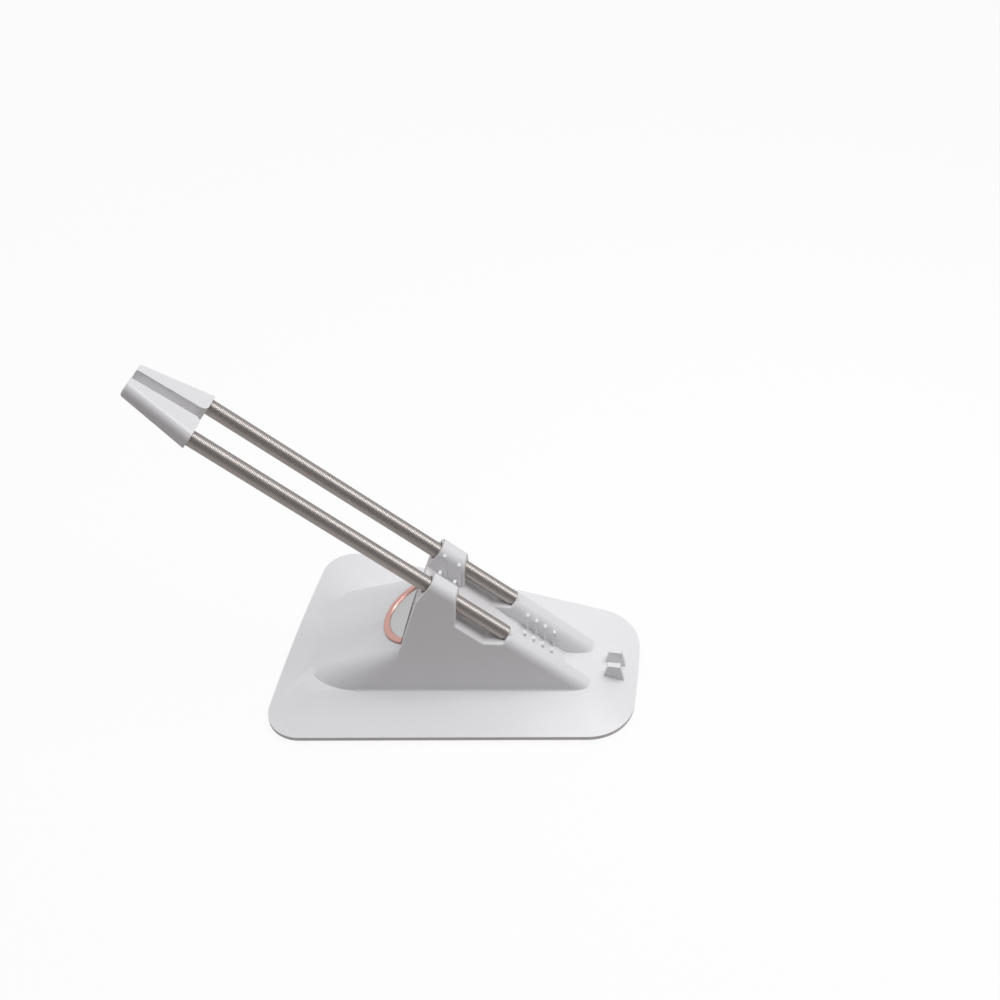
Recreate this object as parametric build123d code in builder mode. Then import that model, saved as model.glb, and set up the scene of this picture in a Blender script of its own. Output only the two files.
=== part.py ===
# Mouse bungee: a moulded base with two spring collars, two closed-coil springs and a slotted tip clip.
# Millimetres. +X is the front, where the cord leaves for the mouse; Z is up; the desk is z = 0.
import os
from math import acos, asin, atan, cos, pi, radians, sin, tan

from build123d import *

os.makedirs("parts", exist_ok=True)

# Base plate
REAR_X = -57.4
FRONT_X = 57.4
SIDE_MID = 34.8
SIDE_TAPER = 0.1626
EDGE_BOW = 1.3
REAR_CORNER = 11.0
FRONT_CORNER = 16.0
RIM_BOTTOM = 0.9
RIM_TOP = 2.3
CREASE_Z = 5.0
CREASE_REAR = -47.4
CREASE_FRONT = 44.0
CREASE_CORNER = 5.0
FOOT_ROUND = 1.0

# Hump and rear ramp
FOOT_MID = 18.1
FOOT_TAPER = 0.16
SIDE_LEAN = 0.215
RAMP_RISE = 0.466
SHOULDER_TIGHT = 3.0
SHOULDER_GROWTH = 0.33
SHOULDER_LENGTH = 60.0
WALL_X = -17.5
WALL_SHIFT = 0.3
RAMP_OVERLAP = 1.5
WALL = 2.2
WALL_UP = 1.1
HOLLOW_REAR_X = -38.0
HOLLOW_ROUND = 6.0

# Spring arm and the ridges that hold it
ARM_ANGLE = 35.6
MOUTH_X = -9.33
MOUTH_Z = 40.34
SPRING_Y = 7.75
SPRING_R = 2.5
SPRING_BORE = 1.9
SPRING_PLAY = 0.05
SEAT_S = 30.2
SEAT_PIN = 5.7
ARM_LENGTH = 82.4
COLLAR_TOP = 4.1
COLLAR_ROUND = 3.0
MOUTH_R = 3.0
BAR_END = 68.0
BAR_TOP = 1.3
BAR_ROUND = 3.2
RIDGE_HALF = 3.85
FLOOR_P = -4.0
MOUTH_SKIRT = 0.6
WEB_END = 62.0
WINDOW_X = 0.0
SILL_Z = 22.4
SILL_P = -0.7
FLOOR_ROUND = 0.5
LIP_ROUND = 0.6

# Cord grips and posts
RIB_THICK = 0.9
RIB_TIP = 3.05
LOWER_RIBS = (20.5, 23.4, 26.3, 29.3)
LOWER_RIB_TOP = 1.0
UPPER_RIBS = (-6.0, -1.5)
UPPER_RIB_TOP = 3.5
POST_GAP = 2.1
POST_OUTER = 4.0
POST_PROFILE = [(46.2, 3.0), (47.4, 9.0), (51.4, 9.0), (53.2, 2.6)]

# Tip clip
CLIP_LENGTH = 22.4
CLIP_ROOT_HALF = 10.9
CLIP_TIP_HALF = 6.3
CLIP_ROOT_THICK = 6.8
CLIP_TIP_THICK = 5.6
CLIP_DROP = 0.3
CLIP_ROUND = 2.6
CLIP_TIP_CHAMFER = 0.5
CLIP_POCKET = 1.2
CLIP_PIN = 9.2
PIN_R = 1.85
SLOT_HALF = 2.05
SLOT_FLOOR = -2.0
SLOT_FLARE = 2.0

# Badge inlay
BADGE_R = 15.0
BADGE_REAR_X = -25.8
BADGE_FRONT_X = -17.4
BADGE_DEPTH = 1.0
RING_WIDTH = 2.3
RING_PROUD = 0.6
DISC_EDGE = 0.2
DISC_CROWN = 1.0

# Under the shell
COVER_MARGIN = 5.0
COVER_TOP = 2.3
COVER_PLAY = 0.15
PAD_MARGIN = 4.0
SCREW_REAR = (-33.0, 16.8)
SCREW_FRONT = (16.0, 9.6)
BOSS_R = 2.6
LUG_R = 4.2
LUG_TOP = 3.4
HEAD_R = 2.3
HEAD_HEIGHT = 1.2
SHANK_R = 1.1
SCREW_TOP = 8.2
BALLAST_HALF = 12.0
BALLAST_TOP = 15.0
PEG_R = 2.0
PEG_HEIGHT = 2.5
PEG_PLACES = [(-24.0, 0.0), (2.0, 0.0)]

# How near an edge must lie to a place to be picked by it
NEAR = 0.1

ca = cos(radians(ARM_ANGLE))
sa = sin(radians(ARM_ANGLE))
screws = [(x, side * y) for x, y in (SCREW_REAR, SCREW_FRONT) for side in (-1, 1)]


def arm(s, p, y=0.0):
    """Point at s along the spring axis, down from the collar mouth, and p above it."""
    return (MOUTH_X + s * ca + p * sa, y, MOUTH_Z - s * sa + p * ca)


def arm_xz(s, p):
    x, _, z = arm(s, p)
    return (x, z)


def arm_height(x, p):
    """Height, at x, of the line that runs p above the spring axis."""
    s = (x - MOUTH_X - p * sa) / ca
    return arm(s, p)[2]


def arm_plane(s):
    """Plane across the spring axis, facing down it: local x is +Y and local y is away from the desk."""
    return Plane(origin=arm(s, 0), x_dir=(0, 1, 0), z_dir=(ca, 0, -sa))


def top_plane(s, p):
    """Plane along the spring axis, facing away from the desk: local x runs down the axis and local y is +Y."""
    return Plane(origin=arm(s, p), x_dir=(ca, 0, -sa), z_dir=(sa, 0, ca))


def foot_half(x, z):
    return FOOT_MID - FOOT_TAPER * x - SIDE_LEAN * (z - CREASE_Z)


def ramp_z(x):
    return CREASE_Z + RAMP_RISE * (x - CREASE_REAR)


def plan_face(z, rear, front, half, bow, r_rear, r_front, taper):
    """Rounded plan of the base: bowed rear and front edges and straight tapering sides."""
    yr = half - taper * (rear + bow)
    yf = half - taper * (front - bow)
    with BuildSketch(Plane.XY.offset(z)) as face:
        with BuildLine():
            ThreePointArc((rear + bow, -yr), (rear, 0), (rear + bow, yr))
            Line((rear + bow, yr), (front - bow, yf))
            ThreePointArc((front - bow, yf), (front, 0), (front - bow, -yf))
            Line((front - bow, -yf), (rear + bow, -yr))
        make_face()
        fillet(face.vertices().group_by(Axis.X)[0], radius=r_rear)
        fillet(face.vertices().group_by(Axis.X)[-1], radius=r_front)
    return face.sketch


def base_plan(z, margin):
    """The base's outline, drawn in by a margin all round."""
    return plan_face(
        z,
        REAR_X + margin,
        FRONT_X - margin,
        SIDE_MID - margin,
        EDGE_BOW,
        REAR_CORNER - margin,
        FRONT_CORNER - margin,
        SIDE_TAPER,
    )


def side_block(points, y0=-30.0, y1=30.0):
    """Prism on a side profile of (x, z) points, from y0 to y1."""
    with BuildPart() as block:
        with BuildSketch(Plane.XZ.offset(-y1)):
            with BuildLine():
                Polyline(*points, close=True)
            make_face()
        extrude(amount=y1 - y0)
    return block.part


def between_sides(block, inset=0.0):
    """The part of a block that lies between the hump's two leaning sides."""
    with BuildPart() as trimmed:
        add(block)
        for side in (-1, 1):
            foot = (0, side * (FOOT_MID - inset), CREASE_Z)
            split(bisect_by=Plane(origin=foot, z_dir=(FOOT_TAPER, side, SIDE_LEAN)), keep=Keep.BOTTOM)
    return trimmed.part


def shoulder(side):
    """Tip and axis of the cone that rounds one shoulder of the ramp, its growth, and the two faces it meets."""
    slope = Vector(-RAMP_RISE, 0, 1).normalized()
    lean = Vector(FOOT_TAPER, side, SIDE_LEAN).normalized()
    corner = (slope.cross(lean) * side).normalized()
    growth = -SHOULDER_GROWTH * corner.X
    tip_x = WALL_X + SHOULDER_TIGHT / SHOULDER_GROWTH
    tip = Vector(tip_x, side * foot_half(tip_x, ramp_z(tip_x)), ramp_z(tip_x))
    half_angle = (pi - acos(slope.dot(lean))) / 2
    axis = corner - (slope + lean).normalized() * (growth / sin(half_angle))
    return tip, axis, growth, slope, lean


def shoulder_chord(side):
    """Plane that cuts one corner off the ramp, along the two lines where the cone meets it."""
    tip, axis, growth, slope, lean = shoulder(side)
    normal = (axis + slope * growth).cross(axis + lean * growth)
    return Plane(origin=tip, z_dir=normal * (1 if normal.Z > 0 else -1))


def shoulder_cone(side):
    tip, axis, growth, _, _ = shoulder(side)
    with BuildPart(Plane(origin=tip, z_dir=axis)) as cone:
        spread = tan(asin(growth / axis.length))
        Cone(0, SHOULDER_LENGTH * spread, SHOULDER_LENGTH, align=(Align.CENTER, Align.CENTER, Align.MIN))
    return cone.part


def below(z):
    """Everything under a height, to be cut away."""
    with BuildPart() as block:
        with Locations((0, 0, z)):
            Box(300, 200, 80, align=(Align.CENTER, Align.CENTER, Align.MAX))
    return block.part


def rod(s0, s1, radius, side):
    """Round bar on one spring's axis."""
    with BuildPart() as bar:
        with BuildSketch(arm_plane(s0)):
            with Locations((side * SPRING_Y, 0)):
                Circle(radius)
        extrude(amount=s1 - s0)
    return bar.part


def ridge(side):
    """One side of the hump: a collar, an open window and a long bar, with one leaning outer face."""
    seat_foot = arm_xz(SEAT_S, SILL_P)
    floor_z = arm_height(WINDOW_X, FLOOR_P)
    knee_x = WINDOW_X + (floor_z - SILL_Z) * ca / sa
    profile = [
        (WALL_X + RAMP_OVERLAP / 2, 0),
        (WALL_X + WALL_SHIFT, ramp_z(WALL_X)),
        arm_xz(0, FLOOR_P - MOUTH_SKIRT),
        arm_xz(0, COLLAR_TOP),
        (WINDOW_X, arm_height(WINDOW_X, COLLAR_TOP)),
        (WINDOW_X, floor_z),
        (knee_x, SILL_Z),
        seat_foot,
        arm_xz(SEAT_S, BAR_TOP),
        arm_xz(BAR_END, BAR_TOP),
        (arm_xz(BAR_END, BAR_TOP)[0], 0),
    ]
    inner = SPRING_Y - RIDGE_HALF
    with BuildPart() as block:
        add(between_sides(side_block(profile, *sorted((side * inner, side * 30.0)))))
        add(below(RIM_TOP), mode=Mode.SUBTRACT)
        # Rounded tops of the collar and the bar
        away = Axis(arm(0, 0), (sa, 0, ca))
        leaning = block.faces().filter_by(lambda f: abs(f.normal_at().Z - ca) < 0.01).sort_by(away)
        for top, radius in ((leaning[-1], COLLAR_ROUND), (leaning[-2], BAR_ROUND)):
            fillet([e for e in top.edges() if abs(e.tangent_at(0.5).Y) < 0.5], radius=radius)
        # The window: its inside corners first, then the lip all round
        for x, z in ((WINDOW_X, floor_z), (knee_x, SILL_Z), seat_foot):
            at_x = block.edges().filter_by(Axis.Y).filter_by_position(Axis.X, x - NEAR, x + NEAR)
            fillet(at_x.filter_by_position(Axis.Z, z - NEAR, z + NEAR), radius=FLOOR_ROUND)
        window_end = block.faces().filter_by(lambda f: f.normal_at().X > 0.99 and f.center().Z > SILL_Z)
        fillet(window_end.sort_by(Axis.X)[0].edges().filter_by(GeomType.LINE), radius=LIP_ROUND)
        # Outer corner of the steep wall under the collar
        wall = block.faces().filter_by(lambda f: f.normal_at().X < -0.9).sort_by(Axis.Z)[-1]
        fillet(wall.edges().sort_by(lambda e: side * e.center().Y)[-1], radius=LIP_ROUND)
    return block.part


# Base shell: outer form
with BuildPart() as rim:
    add(base_plan(RIM_BOTTOM, 0))
    extrude(amount=RIM_TOP - RIM_BOTTOM)

with BuildPart() as plate_top:
    add(base_plan(RIM_TOP, 0))
    add(plan_face(CREASE_Z, CREASE_REAR, CREASE_FRONT, FOOT_MID, 0.8, CREASE_CORNER, CREASE_CORNER, FOOT_TAPER))
    loft(ruled=True)

ramp_foot_x = CREASE_REAR + (RIM_TOP - CREASE_Z) / RAMP_RISE
ramp_front_x = WALL_X + RAMP_OVERLAP
ramp_profile = [(ramp_foot_x, RIM_TOP), (ramp_front_x, ramp_z(ramp_front_x)), (ramp_front_x, RIM_TOP)]
ramp_block = between_sides(side_block(ramp_profile))
with BuildPart() as ramp:
    add(ramp_block)
    for side in (-1, 1):
        split(bisect_by=shoulder_chord(side), keep=Keep.BOTTOM)
    for side in (-1, 1):
        add(shoulder_cone(side) & ramp_block)

with BuildPart() as web:
    web_profile = [
        (WALL_X + RAMP_OVERLAP / 2, RIM_TOP),
        (WALL_X + WALL_SHIFT, ramp_z(WALL_X)),
        arm_xz(0, FLOOR_P - MOUTH_SKIRT),
        arm_xz(0, FLOOR_P),
        arm_xz(WEB_END, FLOOR_P),
        (arm_xz(WEB_END, FLOOR_P)[0] - 3.0, RIM_TOP),
    ]
    web_half = SPRING_Y - RIDGE_HALF + 1.2 * LIP_ROUND
    add(side_block(web_profile, -web_half, web_half))

# Base shell: hollow inside, with four screw bosses left standing
with BuildPart() as hollow:
    rear_profile = [
        (HOLLOW_REAR_X, COVER_TOP),
        (HOLLOW_REAR_X, ramp_z(HOLLOW_REAR_X) - WALL_UP * WALL),
        (ramp_front_x, ramp_z(ramp_front_x) - WALL_UP * WALL),
        (ramp_front_x, COVER_TOP),
    ]
    add(between_sides(side_block(rear_profile), WALL))
    shoulders = hollow.faces().sort_by(Axis.Z)[-1].edges().sort_by(Axis.Y)
    fillet([shoulders[0], shoulders[-1]], radius=HOLLOW_ROUND)
    inner_profile = [
        (WALL_X - 1.0, COVER_TOP),
        (WALL_X - 1.0, ramp_z(WALL_X - 1.0) - WALL_UP * WALL),
        (WALL_X + 2.6, ramp_z(WALL_X) - 1.4),
        arm_xz(2.9, FLOOR_P - WALL),
        arm_xz(56.0, FLOOR_P - WALL),
        (arm_xz(56.0, FLOOR_P - WALL)[0], COVER_TOP),
    ]
    add(between_sides(side_block(inner_profile), WALL))
    add(below(COVER_TOP), mode=Mode.SUBTRACT)
    with BuildSketch(Plane.XY):
        with Locations(*screws):
            Circle(BOSS_R)
    extrude(amount=40, mode=Mode.SUBTRACT)

badge_slope = atan(RAMP_RISE)
badge_x = BADGE_REAR_X + BADGE_R * cos(badge_slope)
badge_plane = Plane(
    origin=(badge_x, 0, ramp_z(badge_x)), x_dir=(0, 1, 0), z_dir=(-sin(badge_slope), 0, cos(badge_slope))
)

with BuildPart() as badge_recess:
    with BuildSketch(badge_plane.offset(-BADGE_DEPTH)):
        Circle(BADGE_R + 0.08)
    extrude(amount=6)
    with Locations((BADGE_FRONT_X + 0.05, 0, 20)):
        Box(60, 60, 60, align=(Align.MIN, Align.CENTER, Align.CENTER), mode=Mode.SUBTRACT)

with BuildPart() as base_shell:
    for piece in (rim, plate_top, ramp, web, ridge(1), ridge(-1)):
        add(piece)
    straight = base_shell.edges().filter_by(GeomType.LINE)
    on_plateau = straight.filter_by_position(Axis.Z, CREASE_Z - NEAR, CREASE_Z + NEAR)
    fillet(on_plateau.sort_by(SortBy.LENGTH)[-2:], radius=FOOT_ROUND)
    add(hollow, mode=Mode.SUBTRACT)
    # Pocket for the bottom cover and for its screw lugs
    add(base_plan(RIM_BOTTOM, COVER_MARGIN))
    extrude(amount=COVER_TOP - RIM_BOTTOM, mode=Mode.SUBTRACT)
    with BuildSketch(Plane.XY.offset(COVER_TOP)):
        with Locations(*screws):
            Circle(LUG_R + COVER_PLAY)
    extrude(amount=LUG_TOP - COVER_TOP, mode=Mode.SUBTRACT)
    with BuildSketch(Plane.XY.offset(LUG_TOP)):
        with Locations(*screws):
            Circle(SHANK_R + SPRING_PLAY)
    extrude(amount=SCREW_TOP + 0.6 - LUG_TOP, mode=Mode.SUBTRACT)
    # Spring bores, their widened mouths, and a pin on each seat
    for side in (-1, 1):
        add(rod(-2.0, SEAT_S, SPRING_R + SPRING_PLAY, side), mode=Mode.SUBTRACT)
        add(rod(-2.0, 1.2, MOUTH_R, side), mode=Mode.SUBTRACT)
        add(rod(SEAT_S - SEAT_PIN, SEAT_S + 1.0, PIN_R, side))
    # Cord grips on the channel walls
    for x, top in [(x, LOWER_RIB_TOP) for x in LOWER_RIBS] + [(x, UPPER_RIB_TOP) for x in UPPER_RIBS]:
        foot = arm_height(x, FLOOR_P - 1.0)
        for side in (-1, 1):
            with Locations((x, side * RIB_TIP, foot)):
                Box(
                    RIB_THICK,
                    1.4,
                    arm_height(x, top) - foot,
                    align=(Align.CENTER, Align.MIN if side > 0 else Align.MAX, Align.MIN),
                )
    # Cord posts at the front
    for side in (-1, 1):
        add(side_block(POST_PROFILE, *sorted((side * POST_GAP, side * POST_OUTER))))
    add(badge_recess, mode=Mode.SUBTRACT)
base_shell.part.label = "base_shell"

# Badge: a ring and a plain polished disc let into the ramp, cut off by the wall behind the collars
with BuildPart() as badge_ring:
    with BuildSketch(badge_plane.offset(-BADGE_DEPTH)):
        Circle(BADGE_R)
        Circle(BADGE_R - RING_WIDTH, mode=Mode.SUBTRACT)
    extrude(amount=BADGE_DEPTH + RING_PROUD)
    chamfer(badge_ring.faces().sort_by(Axis(badge_plane.origin, badge_plane.z_dir))[-1].edges(), length=0.3)
    with Locations((BADGE_FRONT_X, 0, 20)):
        Box(60, 60, 60, align=(Align.MIN, Align.CENTER, Align.CENTER), mode=Mode.SUBTRACT)
badge_ring.part.label = "badge_ring"

with BuildPart() as badge_disc:
    disc_r = BADGE_R - RING_WIDTH - 0.05
    crown = DISC_CROWN - DISC_EDGE
    crown_r = (disc_r**2 + crown**2) / (2 * crown)
    across = Plane(origin=badge_plane.origin, x_dir=(0, 1, 0), z_dir=badge_plane.x_dir.cross(badge_plane.z_dir))
    with BuildSketch(across):
        with BuildLine():
            Line((0, -BADGE_DEPTH), (disc_r, -BADGE_DEPTH))
            Line((disc_r, -BADGE_DEPTH), (disc_r, DISC_EDGE))
            RadiusArc((disc_r, DISC_EDGE), (0, DISC_CROWN), -crown_r)
            Line((0, DISC_CROWN), (0, -BADGE_DEPTH))
        make_face()
    revolve(axis=Axis(badge_plane.origin, badge_plane.z_dir))
    with Locations((BADGE_FRONT_X, 0, 20)):
        Box(60, 60, 60, align=(Align.MIN, Align.CENTER, Align.CENTER), mode=Mode.SUBTRACT)
badge_disc.part.label = "badge_disc"

# Bottom cover, with a lug at each screw and two pegs for the ballast
with BuildPart() as bottom_cover:
    add(base_plan(RIM_BOTTOM, COVER_MARGIN + COVER_PLAY))
    extrude(amount=COVER_TOP - RIM_BOTTOM)
    with BuildSketch(Plane.XY.offset(COVER_TOP)):
        with Locations(*screws):
            Circle(LUG_R)
    extrude(amount=LUG_TOP - COVER_TOP)
    with BuildSketch(Plane.XY.offset(COVER_TOP)):
        with Locations(*PEG_PLACES):
            Circle(PEG_R)
    extrude(amount=PEG_HEIGHT)
    with BuildSketch(Plane.XY.offset(RIM_BOTTOM)):
        with Locations(*screws):
            Circle(SHANK_R + 0.2)
    extrude(amount=5, mode=Mode.SUBTRACT)
    with BuildSketch(Plane.XY.offset(RIM_BOTTOM)):
        with Locations(*screws):
            Circle(HEAD_R + 0.3)
    extrude(amount=HEAD_HEIGHT, mode=Mode.SUBTRACT)
bottom_cover.part.label = "bottom_cover"

# Non-slip pad under the cover
with BuildPart() as foot_pad:
    add(base_plan(0, PAD_MARGIN))
    extrude(amount=RIM_BOTTOM)
    chamfer(foot_pad.faces().sort_by(Axis.Z)[0].edges(), length=0.25)
foot_pad.part.label = "foot_pad"

# Ballast: a cast block on the cover that follows the ramp and the leaning sides
with BuildPart() as ballast:
    block_profile = [
        (-38.0, COVER_TOP),
        (-38.0, 6.2),
        (-19.0, BALLAST_TOP),
        (8.0, BALLAST_TOP),
        (11.4, BALLAST_TOP - 2.0),
        (11.4, COVER_TOP),
    ]
    add(between_sides(side_block(block_profile, -BALLAST_HALF, BALLAST_HALF), WALL + 0.8))
    with BuildSketch(Plane.XY.offset(COVER_TOP)):
        with Locations(*PEG_PLACES):
            Circle(PEG_R + 0.15)
    extrude(amount=PEG_HEIGHT + 0.3, mode=Mode.SUBTRACT)
ballast.part.label = "ballast"

# Four cover screws with pan heads and a cross slot
with BuildPart() as cover_screws:
    with BuildSketch(Plane.XY.offset(RIM_BOTTOM)):
        with Locations(*screws):
            Circle(HEAD_R)
    extrude(amount=HEAD_HEIGHT)
    with BuildSketch(Plane.XY.offset(RIM_BOTTOM + HEAD_HEIGHT)):
        with Locations(*screws):
            Circle(SHANK_R)
    extrude(amount=SCREW_TOP - RIM_BOTTOM - HEAD_HEIGHT)
    with BuildSketch(Plane.XY.offset(RIM_BOTTOM)):
        with Locations(*screws):
            Rectangle(2.4, 0.5)
            Rectangle(0.5, 2.4)
    extrude(amount=0.7, mode=Mode.SUBTRACT)
cover_screws.part.label = "cover_screws"


def spring(side):
    """Closed-coil extension spring, as the tube that its touching turns make."""
    with BuildPart() as tube:
        with BuildSketch(arm_plane(-ARM_LENGTH - CLIP_POCKET)):
            with Locations((side * SPRING_Y, 0)):
                Circle(SPRING_R)
                Circle(SPRING_BORE, mode=Mode.SUBTRACT)
        extrude(amount=ARM_LENGTH + CLIP_POCKET + SEAT_S)
    return tube.part


# Springs, each from its seat in the base to its pocket in the clip
with BuildPart() as left_spring:
    add(spring(1))
left_spring.part.label = "left_spring"

with BuildPart() as right_spring:
    add(spring(-1))
right_spring.part.label = "right_spring"

# Tip clip: a tapering block with rounded sides and an open cord slot
with BuildPart() as tip_clip:
    root, tip = -ARM_LENGTH, -ARM_LENGTH - CLIP_LENGTH
    clip_profile = [
        arm_xz(root, CLIP_ROOT_THICK / 2),
        arm_xz(root, -CLIP_ROOT_THICK / 2),
        arm_xz(tip, -CLIP_DROP - CLIP_TIP_THICK / 2),
        arm_xz(tip, -CLIP_DROP + CLIP_TIP_THICK / 2),
    ]
    add(side_block(clip_profile))
    taper = (CLIP_ROOT_HALF - CLIP_TIP_HALF) / CLIP_LENGTH
    for side in (-1, 1):
        side_face = Plane(origin=arm(root, 0, side * CLIP_ROOT_HALF), z_dir=(-taper * ca, side, taper * sa))
        split(bisect_by=side_face, keep=Keep.BOTTOM)
    fillet(tip_clip.edges().sort_by(SortBy.LENGTH)[-4:], radius=CLIP_ROUND)
    down_arm = Axis(arm(0, 0), (ca, 0, -sa))
    chamfer(tip_clip.faces().sort_by(down_arm)[0].edges(), length=CLIP_TIP_CHAMFER)
    with BuildSketch(top_plane(-ARM_LENGTH, SLOT_FLOOR)) as slot:
        with Locations((-CLIP_LENGTH / 2, 0)):
            Rectangle(CLIP_LENGTH + 4, 2 * SLOT_HALF)
        with Locations((3, 0)):
            Rectangle(6, 3 * CLIP_ROOT_HALF)
        mouth = slot.vertices().filter_by(lambda v: abs(v.X) < 0.01 and abs(v.Y) < SLOT_HALF + 0.01)
        fillet(mouth, radius=SLOT_FLARE)
    extrude(amount=12, mode=Mode.SUBTRACT)
    for side in (-1, 1):
        add(rod(-ARM_LENGTH - CLIP_POCKET, -ARM_LENGTH + 2, SPRING_R + SPRING_PLAY, side), mode=Mode.SUBTRACT)
        add(rod(-ARM_LENGTH - CLIP_POCKET - 1.0, -ARM_LENGTH - CLIP_POCKET + CLIP_PIN, PIN_R, side))
tip_clip.part.label = "tip_clip"

export_step(base_shell.part, "parts/base_shell.step")
export_step(bottom_cover.part, "parts/bottom_cover.step")
export_step(foot_pad.part, "parts/foot_pad.step")
export_step(ballast.part, "parts/ballast.step")
export_step(cover_screws.part, "parts/cover_screws.step")
export_step(left_spring.part, "parts/left_spring.step")
export_step(right_spring.part, "parts/right_spring.step")
export_step(tip_clip.part, "parts/tip_clip.step")
export_step(badge_ring.part, "parts/badge_ring.step")
export_step(badge_disc.part, "parts/badge_disc.step")
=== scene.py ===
"""Mouse bungee: the finish of its mouldings, the real coils of its springs, and a plain studio.

Everything is in metres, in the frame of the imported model.
+X is the front, where the cord leaves, and Z is up.
"""

import math

import bpy
from mathutils import Matrix, Vector


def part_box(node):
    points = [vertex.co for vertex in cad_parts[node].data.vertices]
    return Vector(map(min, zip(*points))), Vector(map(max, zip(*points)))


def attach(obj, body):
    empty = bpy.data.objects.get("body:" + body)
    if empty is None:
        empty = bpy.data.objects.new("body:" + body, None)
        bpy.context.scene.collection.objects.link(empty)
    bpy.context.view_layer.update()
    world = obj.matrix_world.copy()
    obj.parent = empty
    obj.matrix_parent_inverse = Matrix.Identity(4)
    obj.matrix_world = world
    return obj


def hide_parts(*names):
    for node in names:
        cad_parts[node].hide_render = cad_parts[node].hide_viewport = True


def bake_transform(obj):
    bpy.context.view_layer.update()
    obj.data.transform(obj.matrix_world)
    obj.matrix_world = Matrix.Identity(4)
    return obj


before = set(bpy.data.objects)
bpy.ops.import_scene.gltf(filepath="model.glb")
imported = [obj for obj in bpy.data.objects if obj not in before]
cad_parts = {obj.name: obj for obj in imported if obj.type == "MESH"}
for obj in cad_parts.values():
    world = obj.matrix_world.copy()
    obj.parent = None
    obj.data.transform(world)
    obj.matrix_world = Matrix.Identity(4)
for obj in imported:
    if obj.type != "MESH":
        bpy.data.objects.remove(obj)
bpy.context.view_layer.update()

bl_info = {
    "name": "Mouse Bungee",
    "version": (1, 0, 0),
    "blender": (4, 5, 0),
    "location": "View3D > Sidebar > Bungee",
    "description": "Finishes a desk cord stand with two coil springs, and lights it on a white table",
    "category": "Object",
}

MM = 0.001

# Points of the CAD triangles, and of the wound wire, that are nearer than this are one
MERGE = 0.002 * MM
WELD = 0.001 * MM
# Faces that turn less than this are one flat face
FLAT = math.radians(0.1)
# How far the large faces rule the shading, up to 100
FACE_WEIGHT = 60

# Colour sockets of a Mix node
MIX_FIRST = 6
MIX_SECOND = 7
MIX_RESULT = 2

# Lengths of each spring that the base and the clip hold
SEATED = 30.2 * MM
POCKET = 1.2 * MM

# The clip is this much rougher than the base
CLIP_DULLER = 0.04

WHITE = (1, 1, 1, 1)
# What the table throws back: dimmer and warmer than what the camera sees
TABLE_BOUNCE = (0.5, 0.46, 0.45, 1)
TABLE_SEEN = (0.95, 0.95, 0.95, 1)
TABLE_SIZE = 6
# Share of the white table that shows in metal
TABLE_IN_METAL = 0.25

# The brightest side of the room, and grey levels from the side away from it, 0, to that side, 1
ROOM_TOP = (-0.3, 0.5, 0.81)
ROOM_LEVELS = [(0.0, 0.10), (0.42, 0.12), (0.62, 0.36), (0.85, 0.95), (1.0, 1.0)]

ROOM_COLOUR = (0.98, 0.98, 1.0, 1)

# The soft box, and the point that it faces
LAMP_PLACE = Vector((0.17, 0.05, 0.41))
LAMP_AIM = Vector((0, 0, 0.03))
LAMP_SIZE = 0.28
LAMP_COLOUR = (1.0, 0.995, 0.99)


# Shader maths


class Value:
    """A shader socket that adds Math nodes when it is used in an expression."""

    def __init__(self, shader, socket):
        self.shader = shader
        self.socket = socket

    def math(self, operation, *others):
        return self.shader.node("ShaderNodeMath", {"operation": operation}, self, *others)

    def __add__(self, other):
        return self.math("ADD", other)

    def __sub__(self, other):
        return self.math("SUBTRACT", other)

    def __mul__(self, other):
        return self.math("MULTIPLY", other)

    def __rsub__(self, other):
        return self.shader.node("ShaderNodeMath", {"operation": "SUBTRACT"}, other, self)

    __radd__ = __add__
    __rmul__ = __mul__


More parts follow.
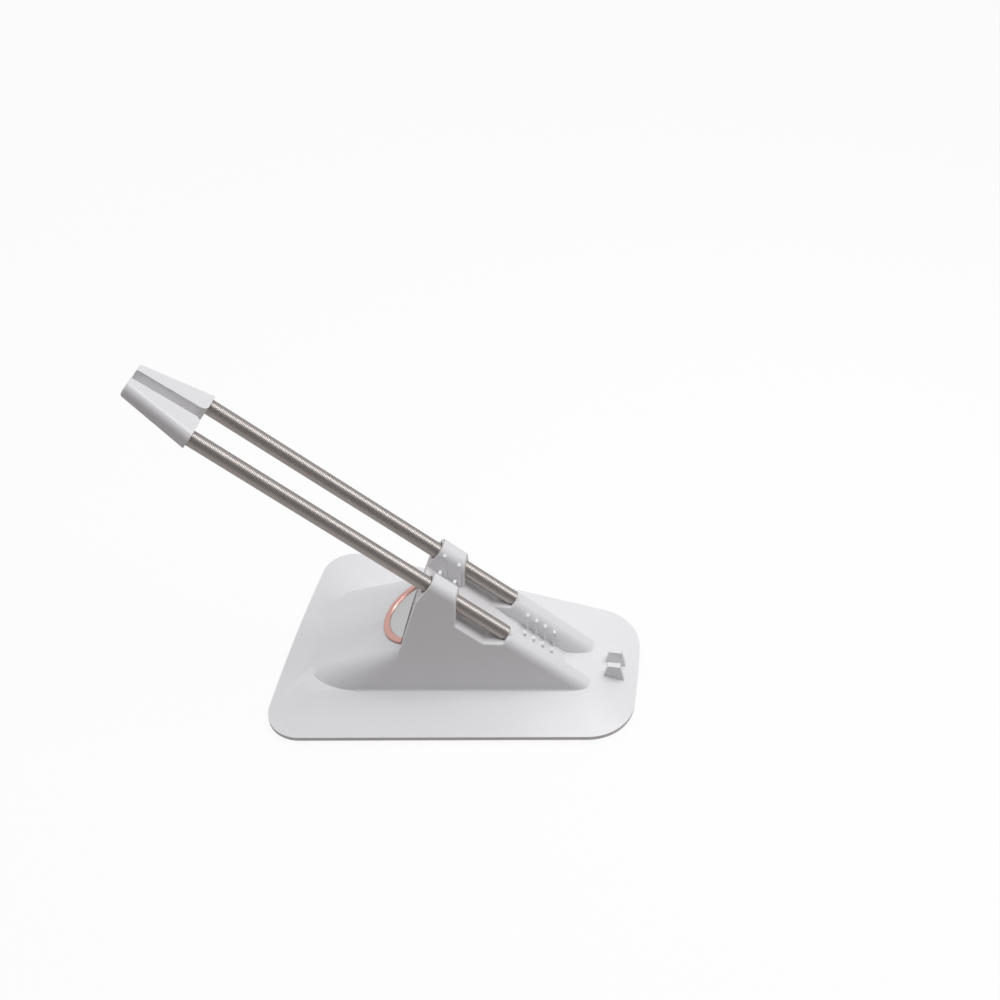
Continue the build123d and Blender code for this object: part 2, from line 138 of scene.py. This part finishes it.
class Shader:
    """Builds one material's or the world's node tree."""

    def __init__(self, tree):
        self.tree = tree
        tree.nodes.clear()

    def node(self, kind, settings=None, *inputs, out=0, **named):
        """Add a node: settings first, then its inputs in order or by name. Returns one output."""
        made = self.tree.nodes.new(kind)
        for key, value in (settings or {}).items():
            if key == "stops":
                self.fill_ramp(made.color_ramp, value)
            else:
                setattr(made, key, value)
        for index, value in enumerate(inputs):
            self.feed(made.inputs[index], value)
        for name, value in named.items():
            self.feed(made.inputs[name.replace("_", " ")], value)
        return Value(self, made.outputs[out]) if made.outputs else None

    def feed(self, socket, value):
        if isinstance(value, Value):
            self.tree.links.new(value.socket, socket)
        elif value is not None:
            socket.default_value = value

    def fill_ramp(self, ramp, stops):
        """Colour stops as (place, grey level) pairs."""
        for place, level in stops[1:-1]:
            ramp.elements.new(place).color = (level, level, level, 1)
        ramp.elements[0].position = stops[0][0]
        ramp.elements[0].color = (stops[0][1],) * 3 + (1,)
        ramp.elements[-1].position = stops[-1][0]
        ramp.elements[-1].color = (stops[-1][1],) * 3 + (1,)

    def place(self):
        return self.node("ShaderNodeTexCoord", out="Object")

    def noise(self, size, detail=3.0, roughness=0.5, stretch=(1, 1, 1)):
        """Noise from 0 to 1 whose blobs are about size metres across."""
        where = self.node("ShaderNodeMapping", {}, self.place(), Scale=stretch)
        return self.node(
            "ShaderNodeTexNoise", {}, Vector=where, Scale=1 / size, Detail=detail, Roughness=roughness,
        )

    def mix(self, factor, first, second):
        """Blend of two colours."""
        made = self.tree.nodes.new("ShaderNodeMix")
        made.data_type = "RGBA"
        self.feed(made.inputs["Factor"], factor)
        self.feed(made.inputs[MIX_FIRST], first)
        self.feed(made.inputs[MIX_SECOND], second)
        return Value(self, made.outputs[MIX_RESULT])

    def bump(self, height, strength, distance, normal=None):
        return self.node(
            "ShaderNodeBump", {}, Strength=strength, Distance=distance, Height=height, Normal=normal,
        )

    def finish(self, shader):
        self.node("ShaderNodeOutputMaterial", {}, Surface=shader)


def new_shader(name):
    material = bpy.data.materials.new(name)
    material.use_nodes = True
    return material, Shader(material.node_tree)


def rgba(colour, factor=1.0):
    """A socket's colour, made lighter or darker by a factor."""
    return tuple(min(1.0, c * factor) for c in colour[:3]) + (1.0,)


def moulded_white(name, colour, roughness):
    """Glossy moulded plastic: a faint waviness in the gloss and a very fine grain."""
    material, s = new_shader(name)
    cloud = s.noise(size=18 * MM, detail=2.0)
    grain = s.noise(size=0.25 * MM, detail=2.0)
    tint = s.mix(cloud, rgba(colour, 0.985), rgba(colour, 1.01))
    gloss = roughness - 0.03 + 0.06 * s.noise(size=6 * MM, detail=4.0)
    wave = s.bump(cloud, strength=0.05, distance=0.6 * MM)
    skin = s.bump(grain, strength=0.06, distance=0.02 * MM, normal=wave)
    s.finish(
        s.node(
            "ShaderNodeBsdfPrincipled",
            {},
            Base_Color=tint,
            Roughness=gloss,
            IOR=1.5,
            Normal=skin,
            Coat_Weight=0.15,
            Coat_Roughness=0.06,
        )
    )
    return material


def drawn_steel(name, colour, roughness):
    """Stainless spring wire: a fine grain, and small changes of tone along the coil."""
    material, s = new_shader(name)
    tone = s.noise(size=2.5 * MM, detail=3.0)
    patch = s.noise(size=12 * MM, detail=2.0)
    shade = s.mix(tone * 0.5 + patch * 0.5, rgba(colour, 0.9), rgba(colour, 1.08))
    gloss = roughness - 0.04 + 0.08 * tone
    grain = s.noise(size=0.12 * MM, detail=2.0)
    skin = s.bump(grain, strength=0.04, distance=0.005 * MM)
    s.finish(
        s.node("ShaderNodeBsdfPrincipled", {}, Base_Color=shade, Metallic=1.0, Roughness=gloss, Normal=skin)
    )
    return material


def plated(name, colour, roughness, lines):
    """Plated or anodised metal with fine lines across it."""
    material, s = new_shader(name)
    brushed = s.noise(size=0.3 * MM, detail=2.0, roughness=0.6, stretch=(1, 0.06, 1))
    shade = s.mix(brushed, rgba(colour, 1 - lines), rgba(colour))
    gloss = roughness + 0.08 * brushed
    skin = s.bump(brushed, strength=0.1 * lines, distance=0.02 * MM)
    s.finish(
        s.node("ShaderNodeBsdfPrincipled", {}, Base_Color=shade, Metallic=1.0, Roughness=gloss, Normal=skin)
    )
    return material


def moulded_matt(name, colour, roughness, grain_size, grain_depth):
    """Matt silicone, plain plastic or cast iron: one colour, broken up by its grain."""
    material, s = new_shader(name)
    grain = s.noise(size=grain_size)
    # Soft patches of tone, each thirty grains across
    cloud = s.noise(size=grain_size * 30)
    shade = s.mix(cloud, rgba(colour, 0.9), rgba(colour, 1.05))
    gloss = roughness - 0.05 + 0.1 * grain
    skin = s.bump(grain, strength=0.5, distance=grain_depth)
    s.finish(s.node("ShaderNodeBsdfPrincipled", {}, Base_Color=shade, Roughness=gloss, Normal=skin))
    return material


# Mesh helpers


def only(piece):
    """Select one object and make it active."""
    bpy.ops.object.select_all(action="DESELECT")
    piece.select_set(True)
    bpy.context.view_layer.objects.active = piece


def copy_of(node, name):
    """A merged copy of a CAD node's mesh, ready to be finished."""
    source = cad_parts[node]
    piece = bpy.data.objects.new(name, source.data.copy())
    bpy.context.scene.collection.objects.link(piece)
    only(piece)
    piece.data.materials.clear()
    bpy.ops.object.mode_set(mode="EDIT")
    bpy.ops.mesh.select_all(action="SELECT")
    bpy.ops.mesh.remove_doubles(threshold=MERGE)
    bpy.ops.mesh.customdata_custom_splitnormals_clear()
    bpy.ops.mesh.tris_convert_to_quads()
    bpy.ops.mesh.select_all(action="SELECT")
    bpy.ops.mesh.dissolve_limited(angle_limit=FLAT)
    bpy.ops.object.mode_set(mode="OBJECT")
    return piece


def apply_modifier(piece, kind, **settings):
    """Add a modifier, set it and apply it."""
    modifier = piece.modifiers.new(kind.title(), kind)
    for key, value in settings.items():
        setattr(modifier, key, value)
    only(piece)
    bpy.ops.object.modifier_apply(modifier=modifier.name)


def smooth(piece, crease):
    """Keep edges sharper than the crease angle, and let the large faces rule the shading."""
    only(piece)
    bpy.ops.object.shade_smooth_by_angle(angle=crease)
    apply_modifier(piece, "WEIGHTED_NORMAL", mode="FACE_AREA", weight=FACE_WEIGHT, keep_sharp=True)


def dress(piece, material, body=None, node=None):
    """Give a piece its finish, and say what it rides on, stands for and takes its colour from."""
    piece.data.materials.clear()
    piece.data.materials.append(material)
    if node:
        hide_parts(node)
    if body:
        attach(piece, body)


def spring_ends(node):
    """The lower and upper centre of a spring, from its tube's two end rings."""
    points = [v.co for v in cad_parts[node].data.vertices]
    low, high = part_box(node)
    middle = (low.x + high.x) / 2
    front = [p for p in points if p.x > middle]
    rear = [p for p in points if p.x <= middle]
    return sum(front, Vector()) / len(front), sum(rear, Vector()) / len(rear)


# Settings


class StageSettings(bpy.types.PropertyGroup):
    """Camera, lamp and table."""

    azimuth: bpy.props.FloatProperty(
        name="Azimuth", description="Camera's turn round the object", default=math.radians(9.016),
        subtype="ANGLE",
    )
    elevation: bpy.props.FloatProperty(
        name="Elevation", description="Camera's height angle", default=math.radians(40.004),
        subtype="ANGLE",
    )
    distance: bpy.props.FloatProperty(
        name="Distance", description="From camera to target", default=0.331933, unit="LENGTH"
    )
    target: bpy.props.FloatVectorProperty(
        name="Target", description="Point the camera looks at", default=(0.012002, 0.0, 0.070359),
        subtype="XYZ",
    )
    lens: bpy.props.FloatProperty(name="Lens", description="Focal length on a 36 mm sensor", default=41.066)
    key_power: bpy.props.FloatProperty(
        name="Key lamp", description="Power of the soft box overhead", default=0.85
    )
    sky: bpy.props.FloatProperty(
        name="Sky", description="Strength of the soft light all round", default=0.76
    )
    white: bpy.props.FloatProperty(
        name="White table", description="How far the table is washed out to white", default=0.92,
        subtype="FACTOR",
    )


class MouldingSettings(bpy.types.PropertyGroup):
    """White plastic."""

    crease: bpy.props.FloatProperty(
        name="Crease", description="Edges that turn more than this stay crisp", default=math.radians(28),
        subtype="ANGLE",
    )
    colour: bpy.props.FloatVectorProperty(
        name="Plastic", description="Colour of the white plastic", default=(0.87, 0.865, 0.88),
        subtype="COLOR",
    )
    roughness: bpy.props.FloatProperty(
        name="Roughness", description="Roughness of the plastic", default=0.24
    )


class SpringSettings(bpy.types.PropertyGroup):
    """Coil springs."""

    wire: bpy.props.FloatProperty(
        name="Wire", description="Width of the wire along the coil", default=0.5 * MM, unit="LENGTH"
    )
    depth: bpy.props.FloatProperty(
        name="Depth", description="Depth of the flattened wire", default=0.24 * MM, unit="LENGTH"
    )
    outer: bpy.props.FloatProperty(
        name="Outer radius", description="Outer radius of the coil", default=2.5 * MM, unit="LENGTH"
    )
    steps: bpy.props.IntProperty(name="Steps", description="Segments in one turn", default=24)
    sides: bpy.props.IntProperty(name="Sides", description="Sides of the wire's section", default=8)
    colour: bpy.props.FloatVectorProperty(
        name="Steel", description="Colour of the wire", default=(0.50, 0.465, 0.44), subtype="COLOR"
    )
    roughness: bpy.props.FloatProperty(
        name="Roughness", description="Roughness of the wire", default=0.32
    )


class BadgeSettings(bpy.types.PropertyGroup):
    """Ring and plain disc on the ramp."""

    rose: bpy.props.FloatVectorProperty(
        name="Ring", description="Colour of the ring", default=(0.84, 0.50, 0.44), subtype="COLOR"
    )
    chrome: bpy.props.FloatVectorProperty(
        name="Disc", description="Colour of the disc", default=(0.72, 0.71, 0.70), subtype="COLOR"
    )


class BungeeSettings(bpy.types.PropertyGroup):
    """All sizes and colours that a user would change."""

    stage: bpy.props.PointerProperty(type=StageSettings)
    moulding: bpy.props.PointerProperty(type=MouldingSettings)
    springs: bpy.props.PointerProperty(type=SpringSettings)
    badge: bpy.props.PointerProperty(type=BadgeSettings)


# Operators


class BUNGEE_OT_stage(bpy.types.Operator):
    """Set up the white table, the lamp and the camera"""

    bl_idname = "bungee.stage"
    bl_label = "Stage"

    def execute(self, context):
        settings = context.scene.bungee.stage
        self.add_camera(context, settings)
        self.add_floor(settings)
        self.add_soft_box(settings)
        self.light_world(context, settings)
        context.scene.view_settings.view_transform = "Standard"
        return {"FINISHED"}

    def add_camera(self, context, settings):
        a, e = settings.azimuth, settings.elevation
        back = Vector((math.sin(a) * math.cos(e), -math.cos(a) * math.cos(e), math.sin(e)))
        bpy.ops.object.camera_add(location=Vector(settings.target) + back * settings.distance)
        camera = context.object
        camera.name = "camera"
        camera.rotation_euler = back.to_track_quat("Z", "Y").to_euler()
        camera.data.lens = settings.lens
        camera.data.sensor_width = 36
        camera.data.clip_start = 10 * MM
        context.scene.camera = camera

    def add_floor(self, settings):
        """A white table that throws back only a little light and keeps a faint shadow."""
        bpy.ops.mesh.primitive_plane_add(size=TABLE_SIZE)
        floor = bpy.context.object
        floor.name = "floor"
        material, s = new_shader("white_table")
        camera_ray = s.node("ShaderNodeLightPath", out="Is Camera Ray")
        glossy_ray = s.node("ShaderNodeLightPath", out="Is Glossy Ray")
        clear_ray = s.node("ShaderNodeLightPath", out="Is Transmission Ray")
        seen = camera_ray + clear_ray + TABLE_IN_METAL * glossy_ray
        matt = s.node("ShaderNodeBsdfDiffuse", {}, Color=s.mix(camera_ray, TABLE_BOUNCE, TABLE_SEEN))
        glow = s.node("ShaderNodeEmission", {}, Color=WHITE, Strength=1.0)
        s.finish(s.node("ShaderNodeMixShader", {}, settings.white * seen, matt, glow))
        floor.data.materials.append(material)

    def add_soft_box(self, settings):
        """A soft square lamp over the front of the object, that points at it."""
        bpy.ops.object.light_add(type="AREA", location=LAMP_PLACE)
        lamp = bpy.context.object
        lamp.name = "key"
        lamp.rotation_euler = (LAMP_PLACE - LAMP_AIM).to_track_quat("Z", "Y").to_euler()
        lamp.data.size = LAMP_SIZE
        lamp.data.energy = settings.key_power
        lamp.data.color = LAMP_COLOUR
        lamp.visible_camera = False

    def light_world(self, context, settings):
        """A room that is brighter overhead and behind the object, and dim on the camera's side."""
        world = bpy.data.worlds.new("studio")
        context.scene.world = world
        world.use_nodes = True
        s = Shader(world.node_tree)
        towards = s.node("ShaderNodeTexCoord", out="Generated")
        along = s.node("ShaderNodeVectorMath", {"operation": "DOT_PRODUCT"}, towards, ROOM_TOP, out=1)
        level = s.node("ShaderNodeValToRGB", {"stops": ROOM_LEVELS}, 0.5 + 0.5 * along)
        camera_ray = s.node("ShaderNodeLightPath", out="Is Camera Ray")
        clear_ray = s.node("ShaderNodeLightPath", out="Is Transmission Ray")
        room = s.node("ShaderNodeBackground", {}, Color=ROOM_COLOUR, Strength=settings.sky * level)
        white = s.node("ShaderNodeBackground", {}, Color=WHITE, Strength=1.0)
        s.node(
            "ShaderNodeOutputWorld", {},
            Surface=s.node("ShaderNodeMixShader", {}, camera_ray + clear_ray, room, white),
        )


class BUNGEE_OT_base_shell(bpy.types.Operator):
    """Finish the base moulding"""

    bl_idname = "bungee.base_shell"
    bl_label = "Base shell"

    def execute(self, context):
        settings = context.scene.bungee.moulding
        shell = copy_of("base_shell", "base_moulding")
        smooth(shell, settings.crease)
        finish = moulded_white("white_plastic", settings.colour, settings.roughness)
        dress(shell, finish, "base", "base_shell")
        return {"FINISHED"}


class BUNGEE_OT_tip_clip(bpy.types.Operator):
    """Finish the slotted clip at the end of the arm"""

    bl_idname = "bungee.tip_clip"
    bl_label = "Tip clip"

    def execute(self, context):
        settings = context.scene.bungee.moulding
        clip = copy_of("tip_clip", "cord_clip")
        smooth(clip, settings.crease)
        finish = moulded_white("clip_plastic", settings.colour, settings.roughness + CLIP_DULLER)
        dress(clip, finish, "arm", "tip_clip")
        return {"FINISHED"}


class BUNGEE_OT_springs(bpy.types.Operator):
    """Wind the two close-coiled springs"""

    bl_idname = "bungee.springs"
    bl_label = "Springs"

    def execute(self, context):
        settings = context.scene.bungee.springs
        steel = drawn_steel("spring_wire", settings.colour, settings.roughness)
        for node in ("left_spring", "right_spring"):
            low, high = spring_ends(node)
            coil = self.wind(low, high, node.replace("spring", "coil"), settings)
            dress(coil, steel, node=node)
            axis = (high - low).normalized()
            mouth = low + axis * SEATED
            clip = high - axis * POCKET
            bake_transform(coil)
        return {"FINISHED"}

    def wind(self, low, high, name, settings):
        """One coil: the wire's flattened section, screwed up the axis and laid along the arm."""
        axis = high - low
        turns = int(axis.length / settings.wire)
        pitch = (axis.length - settings.wire) / turns
        bpy.ops.object.select_all(action="DESELECT")
        bpy.ops.mesh.primitive_circle_add(
            vertices=settings.sides,
            radius=pitch / 2,
            location=(settings.outer - settings.depth / 2, 0, settings.wire / 2),
            rotation=(math.pi / 2, 0, 0),
        )
        coil = bpy.context.object
        coil.name = name
        coil.scale.x = settings.depth / pitch
        bpy.ops.object.transform_apply()
        apply_modifier(
            coil,
            "SCREW",
            axis="Z",
            angle=math.tau,
            screw_offset=pitch,
            iterations=turns,
            steps=settings.steps,
            render_steps=settings.steps,
            use_normal_calculate=True,
        )
        bpy.ops.object.mode_set(mode="EDIT")
        bpy.ops.mesh.select_all(action="SELECT")
        bpy.ops.mesh.remove_doubles(threshold=WELD)
        bpy.ops.mesh.fill_holes(sides=settings.sides)
        bpy.ops.mesh.select_all(action="SELECT")
        bpy.ops.mesh.normals_make_consistent(inside=False)
        bpy.ops.object.mode_set(mode="OBJECT")
        turn = axis.to_track_quat("Z", "Y").to_matrix().to_4x4()
        coil.matrix_world = Matrix.Translation(low) @ turn
        only(coil)
        bpy.ops.object.transform_apply()
        bpy.ops.object.shade_smooth()
        return coil


class BUNGEE_OT_badge(bpy.types.Operator):
    """Finish the ring and the plain disc on the ramp"""

    bl_idname = "bungee.badge"
    bl_label = "Badge"

    def execute(self, context):
        settings = context.scene.bungee.badge
        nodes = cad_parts
        dress(nodes["badge_ring"], plated("rose_ring", settings.rose, roughness=0.22, lines=0.1))
        dress(nodes["badge_disc"], plated("polished_disc", settings.chrome, roughness=0.06, lines=0.04))
        return {"FINISHED"}


class BUNGEE_OT_underside(bpy.types.Operator):
    """Finish the cover, the non-slip pad, the screws and the ballast"""

    bl_idname = "bungee.underside"
    bl_label = "Underside"

    def execute(self, context):
        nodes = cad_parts
        cover = moulded_matt(
            "cover_plastic", (0.74, 0.74, 0.75), roughness=0.5, grain_size=0.2 * MM, grain_depth=0.02 * MM
        )
        pad = moulded_matt(
            "pad_silicone", (0.62, 0.6, 0.59), roughness=0.7, grain_size=0.5 * MM, grain_depth=0.05 * MM
        )
        iron = moulded_matt(
            "cast_iron", (0.12, 0.12, 0.125), roughness=0.65, grain_size=0.8 * MM, grain_depth=0.15 * MM
        )
        dress(nodes["bottom_cover"], cover)
        dress(nodes["foot_pad"], pad)
        dress(nodes["ballast"], iron)
        dress(nodes["cover_screws"], plated("zinc_plate", (0.55, 0.56, 0.58), roughness=0.3, lines=0.1))
        return {"FINISHED"}


class BUNGEE_PT_panel(bpy.types.Panel):
    """Lists the steps that finish the stand"""

    bl_idname = "BUNGEE_PT_panel"
    bl_label = "Mouse Bungee"
    bl_space_type = "VIEW_3D"
    bl_region_type = "UI"
    bl_category = "Bungee"

    def draw(self, context):
        for step in STEPS:
            self.layout.operator(step.bl_idname)


STEPS = (
    BUNGEE_OT_stage,
    BUNGEE_OT_base_shell,
    BUNGEE_OT_tip_clip,
    BUNGEE_OT_springs,
    BUNGEE_OT_badge,
    BUNGEE_OT_underside,
)
GROUPS = (StageSettings, MouldingSettings, SpringSettings, BadgeSettings, BungeeSettings)


def register():
    for group in GROUPS:
        bpy.utils.register_class(group)
    for step in STEPS:
        bpy.utils.register_class(step)
    bpy.utils.register_class(BUNGEE_PT_panel)
    bpy.types.Scene.bungee = bpy.props.PointerProperty(type=BungeeSettings)


def unregister():
    del bpy.types.Scene.bungee
    bpy.utils.unregister_class(BUNGEE_PT_panel)
    for step in reversed(STEPS):
        bpy.utils.unregister_class(step)
    for group in reversed(GROUPS):
        bpy.utils.unregister_class(group)


def main():
    register()
    bpy.ops.bungee.stage()
    bpy.ops.bungee.base_shell()
    bpy.ops.bungee.tip_clip()
    bpy.ops.bungee.springs()
    bpy.ops.bungee.badge()
    bpy.ops.bungee.underside()


if __name__ == "__main__":
    main()
